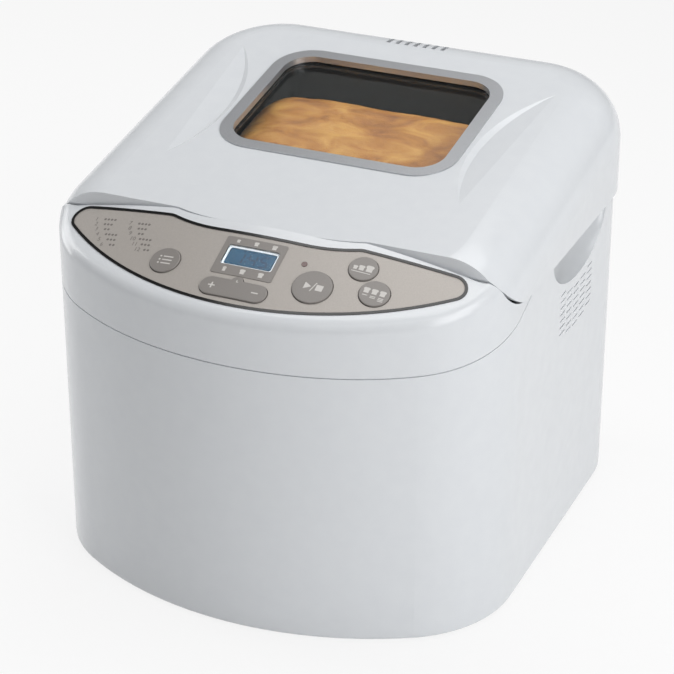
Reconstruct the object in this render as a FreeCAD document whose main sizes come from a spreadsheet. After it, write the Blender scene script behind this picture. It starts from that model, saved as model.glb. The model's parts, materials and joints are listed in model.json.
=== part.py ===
import FreeCAD, Part
import math
import os
import re
from types import SimpleNamespace
from FreeCAD import Placement, Rotation, Vector

# Bread machine: moulded body, control fascia, hinged lid with a window,
# oven chamber with lift-out pan, and the belt drive that turns the paddle.
# Frame: millimetres, +Z up, front towards -Y, origin at the bottom centre.
# Heights are from the table. Names ending in _y are distances behind the
# front of the body, because the front is where the machine is read from.

SIZES = {
    # body casing
    "body_width": 279.0, "body_depth": 303.0, "front_radius": 204.0,
    "corner_radius": 72.0, "rear_width": 276.0, "rear_corner": 56.0,
    "wall": 2.8, "foot_height": 1.0, "foot_radius": 8.0, "bottom_round": 2.5,
    "parting_z": 193.0, "seam_z": 168.0, "seam_radius": 277.0,
    "seam_groove": 0.7, "seam_groove_depth": 1.2,
    "ledge_drop": 8.0, "ledge_width": 5.0, "ledge_thickness": 4.0,
    "boss_radius": 4.5, "boss_inset": 6.5, "boss_top": 30.0,
    "fit_gap": 0.4,
    # base plate and fixings
    "base_lift": 1.0, "base_thickness": 3.0, "screw_radius": 2.0,
    "screw_head_radius": 3.4, "screw_head": 1.6, "screw_length": 14.0,
    "foot_front_x": 92.0, "foot_front_y": 66.0, "foot_rear_x": 84.0, "foot_rear_y": 262.0,
    # finger recess and side louvres
    "recess_y": 193.0, "recess_half_length": 48.0, "recess_height": 26.0,
    "recess_depth": 15.0, "louvre_columns": 5, "louvre_rows": 7,
    "louvre_length": 9.0, "louvre_height": 0.9, "louvre_pitch": 4.2,
    "louvre_gap": 3.0, "louvre_y": 190.0,
    # lid
    "lid_overhang": 2.2, "lid_gap": 0.5, "fascia_gap": 1.6, "lid_front_y": 66.0,
    "lid_dip": 4.2, "lid_front_z": 225.0, "lid_slope": 9.8, "lid_shoulder": 32.0,
    "lid_level_y": 100.0, "lid_corner_rise": 22.0,
    "window_y": 191.5, "window_half_x": 75.0, "window_half_y": 58.5,
    "window_corner": 25.0, "window_border": 8.0, "frame_rise": 0.9,
    "glass_margin": 7.0, "glass_thickness": 3.0, "gasket_thickness": 1.0,
    "liner_thickness": 1.2, "liner_half_x": 98.0, "liner_front_y": 98.0,
    "liner_rear_y": 266.0, "liner_corner": 22.0, "liner_flange": 12.0,
    "liner_lift": 1.0, "vent_slots": 7, "vent_pitch": 6.0, "vent_width": 2.6,
    "vent_length": 10.0, "vent_y": 277.0,
    "crease_x": 193.5, "crease_y": 170.7, "crease_radius": 115.8, "crease_chord": 96.3,
    "crease_turn": 4.9, "crease_depth": 2.3, "crease_slope": 27.0,
    # hinge
    "hinge_offset": 7.5, "hinge_barrel_radius": 4.5, "hinge_pin_radius": 2.0,
    "hinge_rise": 1.5, "hinge_x": 74.0, "knuckle_length": 12.0, "knuckle_gap": 0.5,
    "running_gap": 0.05,
    # control fascia and panel
    "panel_ref_y": 48.8, "panel_ref_z": 220.5, "panel_angle": 25.1,
    "crown_radius": 640.0, "fascia_round": 9.0, "fascia_rear_wall": 2.5,
    "panel_low": 45.8, "panel_low_radius": 188.0, "panel_top": 11.5,
    "panel_dip": 5.5, "panel_tip": 9.0, "notch_x": 60.0, "notch_round": 14.0,
    "dip_round": 90.0, "trim_width": 1.7, "trim_rise": 0.4, "plate_thickness": 1.2,
    # display
    "display_half_x": 18.5, "display_low": 25.0, "display_top": 1.6,
    "screen_half_x": 15.5, "screen_low": 18.0, "screen_top": -3.8,
    "display_corner": 1.2, "frame_proud": 0.3, "screen_ledge": 1.2,
    # keys
    "menu_x": -47.3, "menu_v": -22.6, "menu_radius": 8.8,
    "start_x": 41.7, "start_v": -21.7, "start_radius": 11.2,
    "loaf_x": 63.5, "loaf_v": -1.6, "loaf_radius": 8.2,
    "crust_x": 75.3, "crust_v": -15.8, "crust_radius": 8.6,
    "lamp_x": 31.3, "lamp_v": -7.6, "lamp_radius": 1.7,
    "rocker_v": -34.4, "rocker_half": 20.0, "rocker_radius": 6.2,
    "rocker_bump": 3.6, "rocker_bump_rise": 5.2,
    "key_gap": 0.35, "key_proud": 0.9, "key_edge": 0.5, "key_skirt": 3.5,
    "key_flange": 0.6, "key_flange_depth": 2.0, "key_travel": 1.0,
    "stem_radius": 2.3, "stem_level": 18.0, "switch_side": 6.0,
    "pivot_radius": 1.2, "pivot_depth": 5.5, "lug_width": 2.4,
    # electronics
    "board_level": 22.0, "board_thickness": 1.6, "board_half_x": 78.0,
    "board_inset": 8.4, "post_radius": 3.0,
    "post_low_x": 60.0, "post_low_v": -20.0, "post_top_x": 40.0, "post_top_v": -6.0,
    "power_board_x": 62.0, "power_board_y": 34.0, "power_board_length": 58.0,
    "power_board_height": 84.0, "capacitor_x": -76.0, "capacitor_y": 62.0,
    "capacitor_radius": 15.0, "capacitor_height": 50.0,
    "gland_x": -70.0, "gland_z": 28.0, "gland_radius": 7.0, "gland_flange": 2.5,
    # oven chamber
    "oven_y": 187.0, "oven_half_x": 92.0, "oven_half_y": 75.0, "oven_corner": 24.0,
    "sheet": 1.0, "chassis_z": 43.5, "chassis_thickness": 2.5, "oven_flange": 8.0,
    "deck_thickness": 3.5, "deck_front_y": 58.0, "leg_side": 10.0,
    "chassis_half_x": 97.0, "chassis_half_y": 80.0,
    "heater_radius": 3.2, "heater_z": 62.0, "heater_half_x": 84.0,
    "heater_half_y": 67.5, "heater_bend": 10.0, "heater_lead_x": 14.0,
    "heater_lead": 14.0, "probe_radius": 2.5, "probe_length": 16.0, "probe_z": 110.0,
    "seat_height": 13.0, "seat_wall": 5.5,
    # bread pan
    "pan_half_x": 80.0, "pan_half_y": 64.0, "pan_taper": 4.0, "pan_corner": 20.0,
    "pan_wall": 1.5, "pan_floor": 2.0, "pan_z": 64.0, "pan_height": 116.0,
    "pan_rim": 1.5, "pan_foot_radius": 34.0, "pan_foot_wall": 3.0, "pan_foot_height": 11.0,
    "foot_clearance": 0.5, "ear_width": 16.0, "ear_thickness": 2.4, "ear_top": 9.0,
    "pivot_z": 165.0, "handle_wire": 2.0, "handle_arm": 62.0, "handle_bend": 4.0,
    "handle_half_x": 86.0, "handle_rest": 16.5,
    # paddle and drive
    "shaft_radius": 4.0, "bush_radius": 8.0, "bush_flange_radius": 12.0,
    "bush_flange": 4.0, "bush_rise": 4.0, "paddle_shaft_top": 90.0,
    "paddle_shaft_bottom": 55.0, "dog_length": 24.0, "dog_width": 6.0, "dog_height": 5.0,
    "paddle_hub_radius": 7.5, "paddle_height": 26.0, "paddle_lift": 2.5,
    "paddle_reach": 42.0, "paddle_blade": 4.0,
    "coupler_radius": 16.0, "coupler_disc": 3.0, "coupler_lug": 8.0, "coupler_gap": 0.5,
    "bearing_radius": 10.0, "bearing_flange_radius": 18.0, "bearing_flange": 4.0,
    "bearing_bottom": 27.0, "pulley_z": 14.0, "pulley_height": 10.0,
    "drive_pulley_radius": 38.0, "motor_pulley_radius": 8.0, "pulley_web": 4.0,
    "shaft_bottom": 11.0, "belt_thickness": 2.0, "belt_width": 8.0, "belt_gap": 0.3,
    "motor_y": 60.0, "motor_radius": 34.0, "motor_height": 66.0, "motor_plate_z": 31.0,
    "motor_plate": 3.0, "motor_plate_half_x": 44.0, "motor_plate_half_y": 38.0,
}

doc = FreeCAD.newDocument("bread_machine")
sheet = doc.addObject("Spreadsheet::Sheet", "Sizes")
for row, (alias, value) in enumerate(SIZES.items(), start=1):
    sheet.set(f"A{row}", alias)
    sheet.set(f"B{row}", str(value))
    sheet.setAlias(f"B{row}", alias)
doc.recompute()
s = SimpleNamespace(**{alias: sheet.get(alias) for alias in SIZES})

FRONT = "(-(body_depth + hinge_offset + hinge_barrel_radius) / 2)"
front_y = -(s.body_depth + s.hinge_offset + s.hinge_barrel_radius) / 2
BASE_TOP = "(foot_height + base_lift + base_thickness)"
base_top = s.foot_height + s.base_lift + s.base_thickness
OVEN_FLOOR = "(chassis_z + chassis_thickness)"
oven_floor = s.chassis_z + s.chassis_thickness
deck_bottom = s.parting_z - s.ledge_drop
deck_top = deck_bottom + s.deck_thickness
FAR = 600.0
parts = []


def behind(distance):
    """The y of a point that lies this far behind the front of the body."""
    return front_y + distance


def formula(text):
    """Point every size named in a formula at its cell in the sheet."""
    return re.sub(r"[a-z][a-z_0-9]*", lambda m: "Sizes." + m[0] if m[0] in SIZES else m[0], text)


def bind(obj, **formulas):
    for prop, text in formulas.items():
        obj.setExpression(prop, formula(text))


def place(obj, x, y, z):
    for axis, text in zip("xyz", (x, y, z)):
        obj.setExpression(f".Placement.Base.{axis}", formula(text))


def cylinder(name, radius, height, x, y, z, along="z"):
    obj = doc.addObject("Part::Cylinder", name)
    bind(obj, Radius=radius, Height=height)
    turn = {"z": Rotation(), "x": Rotation(Vector(0, 1, 0), 90), "y": Rotation(Vector(1, 0, 0), -90)}
    obj.Placement = Placement(Vector(), turn[along])
    place(obj, x, y, z)
    return obj


def box(name, length, width, height, x, y, z):
    obj = doc.addObject("Part::Box", name)
    bind(obj, Length=length, Width=width, Height=height)
    place(obj, x, y, z)
    return obj


def fuse(name, *pieces):
    obj = doc.addObject("Part::MultiFuse", name)
    obj.Shapes = list(pieces)
    return obj


def group(name, pieces):
    obj = doc.addObject("Part::Compound", name)
    obj.Links = list(pieces)
    return obj


def cut(name, base, tool):
    obj = doc.addObject("Part::Cut", name)
    obj.Base = base
    obj.Tool = tool
    return obj


def feature(name, shape, spot=None):
    """A piece whose shape is made in code, in place or moved to a spot of its own."""
    obj = doc.addObject("Part::Feature", name)
    obj.Shape = shape
    obj.Placement = spot or shape.Placement
    return obj


def part(label, obj):
    """Give a finished piece its name and put it on the list to be written."""
    obj.Label = label
    parts.append(obj)
    return obj


# Plan outline of the body: a bowed front, round front corners, sides that
# draw in a little to the back, rounder rear corners and a straight rear.

def arc(centre, radius, start, end):
    points = [Vector(centre.x + radius * math.cos(a), centre.y + radius * math.sin(a), centre.z)
              for a in (start, (start + end) / 2, end)]
    return Part.Arc(*points).toShape()


def plan_outline(inset, z=0.0):
    half = s.body_width / 2
    front = Vector(0, behind(s.front_radius), z)
    corner_x = half - s.corner_radius
    reach = s.front_radius - s.corner_radius
    corner = Vector(corner_x, front.y - math.sqrt(reach ** 2 - corner_x ** 2), z)
    rear = Vector(s.rear_width / 2 - s.rear_corner, behind(s.body_depth - s.rear_corner), z)
    lead = math.atan2(corner.y - front.y, corner.x - front.x)
    span = rear - corner
    side = math.atan2(span.y, span.x) - math.acos((s.corner_radius - s.rear_corner) / span.Length)
    mirror = math.pi
    left = Vector(-corner.x, corner.y, z)
    left_rear = Vector(-rear.x, rear.y, z)
    edges = [
        arc(front, s.front_radius - inset, -mirror - lead, lead),
        arc(corner, s.corner_radius - inset, lead, side),
        arc(rear, s.rear_corner - inset, side, mirror / 2),
        arc(left_rear, s.rear_corner - inset, mirror / 2, mirror - side),
        arc(left, s.corner_radius - inset, mirror - side, mirror - lead),
    ]
    ends = [(e.Vertexes[0].Point, e.Vertexes[-1].Point) for e in edges]
    lines = [Part.makeLine(ends[1][1], ends[2][0]), Part.makeLine(ends[2][1], ends[3][0]),
             Part.makeLine(ends[3][1], ends[4][0])]
    order = [edges[0], edges[1], lines[0], edges[2], lines[1], edges[3], lines[2], edges[4]]
    return Part.Wire(order)


def prism(inset, bottom, top):
    return Part.Face(plan_outline(inset, bottom)).extrude(Vector(0, 0, top - bottom))


def ring(outer, inner, bottom, top):
    return prism(outer, bottom, top).cut(prism(inner, bottom, top))


def across(points):
    """A solid that runs the full width, from an outline of (y, z) corners and edges."""
    edges = []
    for start, end in zip(points, points[1:] + points[:1]):
        a, b = (Vector(-FAR / 2, behind(p[0]), p[1]) for p in (start, end))
        if len(end) == 3:
            mid = Vector(-FAR / 2, behind(end[2][0]), end[2][1])
            edges.append(Part.Arc(a, mid, b).toShape())
        else:
            edges.append(Part.makeLine(a, b))
    return Part.Face(Part.Wire(edges)).extrude(Vector(FAR, 0, 0))


def slab(front, rear, bottom, top):
    return Part.makeBox(FAR, rear - front, top - bottom, Vector(-FAR / 2, behind(front), bottom))


def rounded_rectangle(half_x, half_y, radius, centre):
    shape = []
    quarter = math.pi / 2
    corners = [(1, -1), (1, 1), (-1, 1), (-1, -1)]
    for turn, (sx, sy) in enumerate(corners):
        middle = centre + Vector(sx * (half_x - radius), sy * (half_y - radius), 0)
        shape.append(arc(middle, radius, (turn - 1) * quarter, turn * quarter))
    edges = []
    for this, following in zip(shape, shape[1:] + shape[:1]):
        edges += [this, Part.makeLine(this.Vertexes[-1].Point, following.Vertexes[0].Point)]
    return Part.Wire(edges)


def rounded_block(half_x, half_y, radius, centre, height):
    return Part.Face(rounded_rectangle(half_x, half_y, radius, centre)).extrude(Vector(0, 0, height))


# Seam between body and fascia: level at the front, then it climbs round the
# corners on one arc until it meets the lid's parting line.

seam_drop = s.parting_z - s.seam_z
seam_end = math.sqrt(s.seam_radius ** 2 - (s.seam_radius - seam_drop) ** 2)


def below_seam(lift):
    level = s.parting_z + lift
    lowest = (0, s.seam_z + lift)
    return across([(-FAR, level), (-seam_end, level), (seam_end, level, lowest), (FAR, level),
                   (FAR, -FAR), (-FAR, -FAR)])


# The lid's share of the top: behind a front edge that dips forward in the
# middle, and above a lower edge that sweeps down to the level parting line.

def dipped_edge(outer, dip, notch_x, notch_round, dip_round):
    """Edges from right to left along a straight line with a shallow dip in its middle."""
    swing = math.acos(1 - dip / (notch_round + dip_round))
    flat = notch_x - (notch_round + dip_round) * math.sin(swing)
    top = math.pi / 2
    right_notch = Vector(notch_x, outer - notch_round, 0)
    right_dip = Vector(flat, outer - dip + dip_round, 0)
    left_dip = Vector(-flat, right_dip.y, 0)
    left_notch = Vector(-notch_x, right_notch.y, 0)
    pieces = [arc(right_notch, notch_round, top, top + swing),
              arc(right_dip, dip_round, swing - top, -top)]
    pieces.append(Part.makeLine(Vector(flat, outer - dip, 0), Vector(-flat, outer - dip, 0)))
    pieces += [arc(left_dip, dip_round, -top, -top - swing),
               arc(left_notch, notch_round, top - swing, top)]
    return pieces


def behind_lid_edge(shift):
    line = behind(s.lid_front_y) + shift
    wide = FAR / 2
    edge = dipped_edge(line, s.lid_dip, s.notch_x, s.notch_round, s.dip_round)
    start, end = edge[0].Vertexes[0].Point, edge[-1].Vertexes[-1].Point
    corners = [end, Vector(-wide, line, 0), Vector(-wide, FAR, 0), Vector(wide, FAR, 0),
               Vector(wide, line, 0), start]
    edge += [Part.makeLine(a, b) for a, b in zip(corners, corners[1:])]
    return Part.Face(Part.Wire(Part.__sortEdges__(edge))).extrude(Vector(0, 0, FAR))


def above_parting(lift):
    run = s.lid_level_y - s.lid_front_y
    radius = (run ** 2 + s.lid_corner_rise ** 2) / (2 * s.lid_corner_rise)
    level = s.parting_z + lift
    half = math.asin(run / radius) / 2
    middle = (s.lid_level_y - radius * math.sin(half), level + radius * (1 - math.cos(half)))
    top = level + s.lid_corner_rise
    return across([(-FAR, FAR), (-FAR, top), (s.lid_front_y, top),
                   (s.lid_level_y, level, middle), (FAR, level), (FAR, FAR)])


def lid_zone(grow):
    return behind_lid_edge(-grow).common(above_parting(s.lid_gap - grow))


# Lid top: one plane that rises to the back, with broad rounded shoulders.

lid_rise = math.tan(math.radians(s.lid_slope))
lid_tilt = Rotation(Vector(1, 0, 0), s.lid_slope)


def lid_height(y):
    return s.lid_front_z + lid_rise * (y - s.lid_front_y)


def under_lid_plane(drop):
    fall = drop / math.cos(math.radians(s.lid_slope))
    front, rear = (lid_height(y) - fall for y in (-FAR, FAR))
    return across([(-FAR, front), (FAR, rear), (FAR, -FAR), (-FAR, -FAR)])


def on_lid(shape, y):
    """Put a piece drawn on the lid's top in place, this far behind the front."""
    shape.Placement = Placement(Vector(0, behind(y), lid_height(y)), lid_tilt).multiply(shape.Placement)
    return shape


def lid_block(inset, drop):
    block = prism(inset - s.lid_overhang, 0, FAR).common(under_lid_plane(drop))
    top = max(block.Faces, key=lambda face: face.CenterOfMass.z)
    return block.makeFillet(s.lid_shoulder - inset, top.Edges)


def window_block(margin, low, high, radius):
    block = rounded_block(s.window_half_x + margin, s.window_half_y + margin, radius,
                          Vector(0, 0, low), high - low)
    return on_lid(block, s.window_y)


# Body casing

recess_half = s.body_width / 2


def finger_scoop(side, grow):
    scoop = Part.makeSphere(1.0)
    size = FreeCAD.Matrix()
    size.scale(s.recess_depth + grow, s.recess_half_length + grow, s.recess_height + grow)
    scoop = scoop.transformGeometry(size)
    scoop.translate(Vector(side * recess_half, behind(s.recess_y), s.parting_z))
    return scoop


def louvres(side):
    slots = []
    pitch_y = s.louvre_length + s.louvre_gap
    for column in range(int(s.louvre_columns)):
        y = s.louvre_y + (column - (s.louvre_columns - 1) / 2) * pitch_y
        reach = min(1.0, abs(y - s.recess_y) / s.recess_half_length)
        top = s.parting_z - s.recess_height * math.sqrt(1 - reach ** 2) - s.wall - s.louvre_gap
        for row in range(int(s.louvre_rows)):
            corner = Vector(side * recess_half - s.recess_depth, behind(y - s.louvre_length / 2),
                            top - row * s.louvre_pitch - s.louvre_height)
            slots.append(Part.makeBox(2 * s.recess_depth, s.louvre_length, s.louvre_height, corner))
    return slots


def boss_places():
    half = s.body_width / 2
    corner_x = half - s.corner_radius
    corner_y = s.front_radius - math.sqrt((s.front_radius - s.corner_radius) ** 2 - corner_x ** 2)
    turn = math.radians(35)
    front_reach = s.corner_radius - s.boss_inset
    rear_reach = (s.rear_corner - s.boss_inset) * math.sqrt(0.5)
    places = [(corner_x + front_reach * math.cos(turn), corner_y - front_reach * math.sin(turn)),
              (s.rear_width / 2 - s.rear_corner + rear_reach, s.body_depth - s.rear_corner + rear_reach)]
    return [(side * x, y) for side in (-1, 1) for x, y in places]


def upright(x, y, radius, bottom, top):
    return Part.makeCylinder(radius, top - bottom, Vector(x, behind(y), bottom))


def body_shape():
    block = prism(0, s.foot_height, s.parting_z)
    bottom = min(block.Faces, key=lambda face: face.CenterOfMass.z)
    block = block.makeFillet(s.bottom_round, bottom.Edges)
    shell = block.cut(prism(s.wall, -FAR, FAR))
    ledge_top = deck_bottom
    ledge = ring(s.wall / 2, s.wall + s.ledge_width, ledge_top - s.ledge_thickness, ledge_top)
    shell = shell.fuse(ledge.common(slab(seam_end, FAR, 0, FAR)))
    inside = prism(s.wall / 2, s.foot_height, s.parting_z)
    for side in (-1, 1):
        shell = shell.fuse(finger_scoop(side, s.wall).common(inside))
    for x, y in boss_places():
        shell = shell.fuse(upright(x, y, s.boss_radius, base_top, s.boss_top))
    for side in (-1, 1):
        shell = shell.cut(finger_scoop(side, 0))
        shell = shell.cut(Part.makeCompound(louvres(side)))
    for x, y in boss_places():
        shell = shell.cut(upright(x, y, s.screw_radius, 0, base_top + s.screw_length))
    gland = Part.makeCylinder(s.gland_radius, 4 * s.wall, Vector(s.gland_x, behind(s.body_depth - 3 * s.wall),
                              s.gland_z), Vector(0, 1, 0))
    return shell.cut(gland).common(below_seam(0))


part("body_shell", feature("Body", body_shape()))


def base_shape():
    bottom = s.foot_height + s.base_lift
    plate = prism(s.wall + s.fit_gap, bottom, base_top)
    for x, y in boss_places():
        plate = plate.cut(upright(x, y, s.screw_radius, bottom, base_top))
    return plate


part("base_plate", feature("Base", base_shape()))

feet = []
for end in ("front", "rear"):
    for side in ("-", ""):
        feet.append(cylinder("Foot", "foot_radius", "foot_height + base_lift", f"{side}foot_{end}_x",
                             f"{FRONT} + foot_{end}_y", "0"))
part("rubber_feet", group("Feet", feet))


def base_screws_shape():
    bottom = s.foot_height + s.base_lift
    screws = []
    for x, y in boss_places():
        head = upright(x, y, s.screw_head_radius, bottom - s.screw_head, bottom)
        screws.append(head.fuse(upright(x, y, s.screw_radius, bottom, base_top + s.screw_length)))
    return Part.makeCompound(screws)


part("base_screws", feature("BaseScrews", base_screws_shape()))

gland_flange = cylinder("GlandFlange", "gland_radius + gland_flange", "gland_flange", "gland_x",
                        f"{FRONT} + body_depth", "gland_z", "y")
gland_neck = cylinder("GlandNeck", "gland_radius", "wall + gland_flange", "gland_x",
                      f"{FRONT} + body_depth - wall", "gland_z", "y")
gland_nut = cylinder("GlandNut", "gland_radius + gland_flange", "gland_flange", "gland_x",
                     f"{FRONT} + body_depth - wall - gland_flange", "gland_z", "y")
gland_bore = cylinder("GlandBore", "gland_radius / 2", "wall + 4 * gland_flange", "gland_x",
                      f"{FRONT} + body_depth - wall - 2 * gland_flange", "gland_z", "y")
part("cord_gland", cut("Gland", fuse("GlandBody", gland_flange, gland_neck, gland_nut), gland_bore))

# Control fascia. Its top is part of a wide drum whose axis runs up the slope,
# so the panel is crowned from side to side. Panel work is drawn flat, with x
# across, y up the slope and z out of the panel, and then put in place.

panel_place = Placement(Vector(0, behind(s.panel_ref_y), s.panel_ref_z),
                        Rotation(Vector(1, 0, 0), s.panel_angle))


def drum(offset):
    start = Vector(0, -FAR / 2, -s.crown_radius)
    return Part.makeCylinder(s.crown_radius + offset, FAR, start, Vector(0, 1, 0))


def on_panel(shape):
    placed = shape.copy()
    placed.Placement = panel_place
    return placed


def raised(face, low, high):
    """A flat outline turned into a piece that follows the crown between two levels."""
    deep = 3 * s.board_level
    column = face.copy()
    column.translate(Vector(0, 0, -deep))
    column = column.extrude(Vector(0, 0, 2 * deep))
    return column.common(drum(high)).cut(drum(low))


def panel_face(inset):
    low_radius = s.panel_low_radius
    low_centre = Vector(0, low_radius - s.panel_low, 0)
    tip_y = s.panel_top - s.panel_tip
    tip_x = math.sqrt((low_radius - s.panel_tip) ** 2 - (low_centre.y - tip_y) ** 2)
    lean = math.atan2(tip_y - low_centre.y, tip_x)
    right_tip = Vector(tip_x, tip_y, 0)
    left_tip = Vector(-tip_x, tip_y, 0)
    half = math.pi
    edge = dipped_edge(s.panel_top - inset, s.panel_dip, s.notch_x, s.notch_round - inset, s.dip_round + inset)
    start, end = edge[0].Vertexes[0].Point, edge[-1].Vertexes[-1].Point
    top = s.panel_top - inset
    edges = [arc(low_centre, low_radius - inset, -half - lean, lean),
             arc(right_tip, s.panel_tip - inset, lean, half / 2),
             Part.makeLine(Vector(tip_x, top, 0), start)]
    edges += edge
    edges += [Part.makeLine(end, Vector(-tip_x, top, 0)),
              arc(left_tip, s.panel_tip - inset, half / 2, half - lean)]
    return Part.Face(Part.Wire(edges))


def disc(x, v, radius):
    return Part.Face(Part.Wire(Part.makeCircle(radius, Vector(x, v, 0))))


def plate_between(half_x, low, top, radius):
    centre = Vector(0, (top - low) / 2, 0)
    return Part.Face(rounded_rectangle(half_x, (top + low) / 2, radius, centre))


KEYS = {
    "menu_button": (s.menu_x, s.menu_v, s.menu_radius),
    "start_button": (s.start_x, s.start_v, s.start_radius),
    "loaf_size_button": (s.loaf_x, s.loaf_v, s.loaf_radius),
    "crust_button": (s.crust_x, s.crust_v, s.crust_radius),
}
stem_swing = s.rocker_half - s.rocker_radius


def rocker_face(grow):
    radius = s.rocker_radius + grow
    straight = s.rocker_half - s.rocker_radius
    quarter = math.pi / 2
    right = Vector(straight, s.rocker_v, 0)
    left = Vector(-straight, s.rocker_v, 0)
    ends = [arc(right, radius, -quarter, quarter), arc(left, radius, quarter, 3 * quarter)]
    sides = [Part.makeLine(Vector(straight, s.rocker_v + radius, 0), Vector(-straight, s.rocker_v + radius, 0)),
             Part.makeLine(Vector(-straight, s.rocker_v - radius, 0), Vector(straight, s.rocker_v - radius, 0))]
    bar = Part.Face(Part.Wire([ends[0], sides[0], ends[1], sides[1]]))
    bump = disc(0, s.rocker_v + s.rocker_bump_rise, s.rocker_bump + grow)
    return bar.fuse(bump).removeSplitter().Faces[0]


display_face = plate_between(s.display_half_x, s.display_low, s.display_top, s.display_corner)
screen_face = plate_between(s.screen_half_x, s.screen_low, s.screen_top, s.display_corner)
screen_hole = plate_between(s.screen_half_x - s.screen_ledge, s.screen_low - s.screen_ledge,
                            s.screen_top - s.screen_ledge, s.display_corner)


def key_holes():
    faces = [disc(x, v, radius + s.key_gap) for x, v, radius in KEYS.values()]
    return faces + [rocker_face(s.key_gap), disc(s.lamp_x, s.lamp_v, s.lamp_radius)]


def fascia_block(inset):
    block = prism(inset, 0, FAR).common(on_panel(drum(-inset))).common(slab(-FAR, seam_end, 0, FAR))
    crown = max(block.Faces, key=lambda face: face.CenterOfMass.z)
    rear = behind(seam_end) - s.wall
    edges = [edge for edge in crown.Edges if edge.CenterOfMass.y < rear]
    return block.makeFillet(s.fascia_round - inset, edges)


post_places = [(side * x, v) for side in (-1, 1)
               for x, v in ((s.post_low_x, s.post_low_v), (s.post_top_x, s.post_top_v))]
lug_middle = s.rocker_radius + s.key_gap + s.lug_width / 2


def fascia_shape():
    shell = fascia_block(0).cut(fascia_block(s.wall))
    rear_wall = behind_lid_edge(-s.fascia_gap - s.fascia_rear_wall).cut(behind_lid_edge(-s.fascia_gap))
    rear_wall = rear_wall.common(fascia_block(s.wall / 2)).common(slab(-FAR, FAR, deck_top, FAR))
    shell = shell.fuse(rear_wall)
    shell = shell.cut(lid_zone(s.fascia_gap)).cut(below_seam(0))
    groove = ring(-s.wall, s.seam_groove_depth, 0, FAR).common(below_seam(s.seam_groove))
    shell = shell.cut(groove)
    shell = shell.cut(on_panel(raised(panel_face(0), -s.plate_thickness, s.fascia_round)))
    for face in key_holes() + [screen_hole]:
        shell = shell.cut(on_panel(raised(face, -s.board_level, s.fascia_round)))
    for x, v in post_places:
        post = Part.makeCylinder(s.post_radius, s.board_level, Vector(x, v, -s.board_level))
        shell = shell.fuse(on_panel(post.common(drum(-s.wall + s.plate_thickness / 2))))
    for side in (-1, 1):
        middle = s.rocker_v + side * lug_middle
        half = s.rocker_bump + s.key_gap + s.lug_width
        lug = Part.makeBox(2 * half, s.lug_width, 2 * s.pivot_depth,
                           Vector(-half, middle - s.lug_width / 2, -s.pivot_depth - s.lug_width))
        hole = Part.makeCylinder(s.pivot_radius, 4 * s.lug_width, Vector(0, middle - 2 * s.lug_width,
                                 -s.pivot_depth), Vector(0, 1, 0))
        lug = lug.cut(hole).cut(raised(rocker_face(s.key_gap), -s.key_skirt - s.key_travel, s.fascia_round))
        shell = shell.fuse(on_panel(lug.common(drum(-s.wall / 2))))
    return shell


part("top_fascia", feature("Fascia", fascia_shape()))

border = panel_face(0).cut(panel_face(s.trim_width)).Faces[0]
part("panel_trim", feature("Trim", on_panel(raised(border, -s.plate_thickness, s.trim_rise))))


def plate_shape():
    plate = raised(panel_face(s.trim_width), -s.plate_thickness, 0)
    for face in key_holes() + [display_face]:
        plate = plate.cut(raised(face, -s.board_level, s.fascia_round))
    return on_panel(plate)


part("panel_plate", feature("Plate", plate_shape()))
part("display_frame", feature("DisplayFrame", on_panel(
    raised(display_face.cut(screen_face).Faces[0], -s.plate_thickness, s.frame_proud))))
part("display_lens", feature("DisplayLens", on_panel(raised(screen_face, -s.plate_thickness, 0))))


def lcd_shape():
    edge = s.screen_ledge + s.key_gap
    inner = plate_between(s.screen_half_x - edge, s.screen_low - edge, s.screen_top - edge, s.display_corner)
    block = inner.copy()
    block.translate(Vector(0, 0, -s.board_level))
    return on_panel(block.extrude(Vector(0, 0, s.board_level)).common(drum(-s.plate_thickness)))


part("lcd_module", feature("Screen", lcd_shape()))


def rounded_top(shape, level):
    """Soften the upper rim of a key, which lies on the crown at this level."""
    outer = s.crown_radius + level
    rim = [edge for edge in shape.Edges
           if all(abs(math.hypot(v.X, v.Z + s.crown_radius) - outer) < s.key_edge / 10 for v in edge.Vertexes)]
    return shape.makeFillet(s.key_edge, rim)


def stem(x, v):
    return Part.makeCylinder(s.stem_radius, s.stem_level - s.key_skirt, Vector(x, v, -s.stem_level))


def key_shape(x, v, radius):
    cap = rounded_top(raised(disc(x, v, radius), -s.key_skirt, s.key_proud), s.key_proud)
    skirt_top = -s.key_skirt
    flange = raised(disc(x, v, radius + s.key_flange), skirt_top - s.key_flange_depth, skirt_top)
    return on_panel(cap.fuse([flange, stem(x, v).common(drum(skirt_top))]))


for name, (x, v, radius) in KEYS.items():
    part(name, feature("Key", key_shape(x, v, radius)))


def rocker_shape():
    cap = rounded_top(raised(rocker_face(0), -s.key_skirt, s.key_proud), s.key_proud)
    half = s.rocker_radius - s.key_gap
    saddle = Part.makeBox(4 * s.pivot_radius, 2 * half, s.pivot_depth,
                          Vector(-2 * s.pivot_radius, s.rocker_v - half, -s.pivot_depth - 2 * s.pivot_radius))
    hole = Part.makeCylinder(s.pivot_radius + s.running_gap, 4 * half, Vector(0, s.rocker_v - 2 * half,
                             -s.pivot_depth), Vector(0, 1, 0))
    body = cap.fuse([saddle] + [stem(side * stem_swing, s.rocker_v) for side in (-1, 1)])
    return on_panel(body.cut(hole))


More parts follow.
